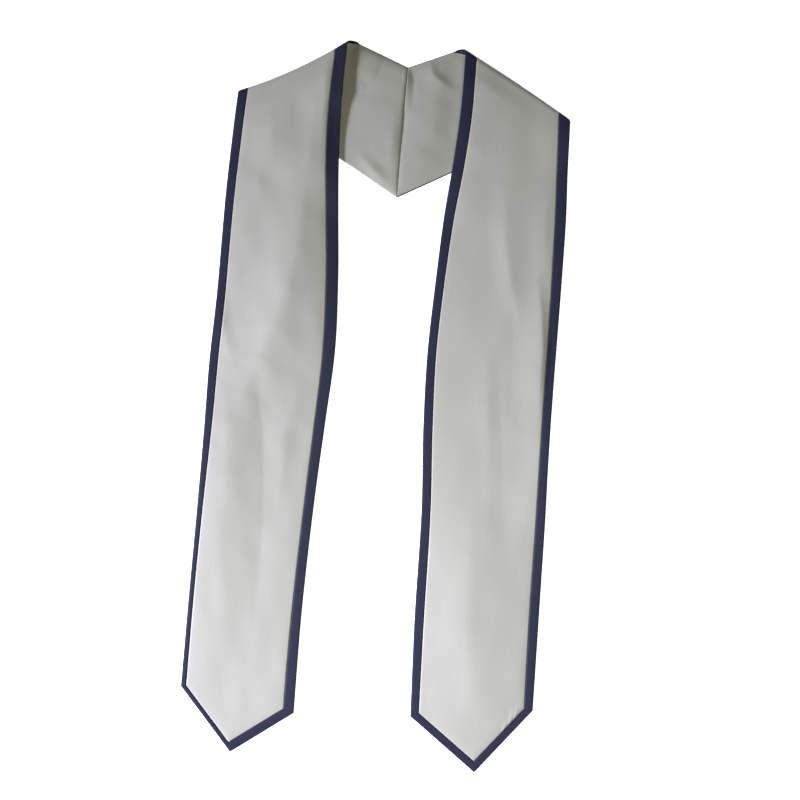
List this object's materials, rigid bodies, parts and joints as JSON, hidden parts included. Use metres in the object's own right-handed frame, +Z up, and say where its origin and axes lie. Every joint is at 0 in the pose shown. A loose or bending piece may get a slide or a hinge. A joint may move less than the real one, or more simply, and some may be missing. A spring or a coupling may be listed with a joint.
{
  "type": "graduation stole",
  "caption": "Long cloth stole with contrast edge trim and pointed ends, lying flat and folded over at both shoulders.",
  "frame": {"origin": "under the middle of the whole stole, on the surface that it lies on", "axes": "+Y from the points towards the neck, +Z up from the surface, +X to the right as seen from above with the neck at the top"},
  "size_m": [0.3974, 0.8106, 0.0149],
  "materials": {
    "satin_grey": "silver grey polyester satin with a soft sheen",
    "lining_grey": "silver grey polyester lining, as the satin with less sheen",
    "trim_navy": "navy blue polyester satin"
  },
  "bodies": {
    "root": {"lining_back_left": "lining_grey", "satin_back_left": "satin_grey", "trim_neck_back_left": "trim_navy", "trim_outer_back_left": "trim_navy", "lining_front_left": "lining_grey", "satin_front_left": "satin_grey", "trim_neck_front_left": "trim_navy", "trim_outer_front_left": "trim_navy", "trim_point_inner_left": "trim_navy", "trim_point_outer_left": "trim_navy", "lining_back_right": "lining_grey", "satin_back_right": "satin_grey", "trim_neck_back_right": "trim_navy", "trim_outer_back_right": "trim_navy", "lining_front_right": "lining_grey", "satin_front_right": "satin_grey", "trim_neck_front_right": "trim_navy", "trim_outer_front_right": "trim_navy", "trim_point_inner_right": "trim_navy", "trim_point_outer_right": "trim_navy"}
  },
  "joints": []
}
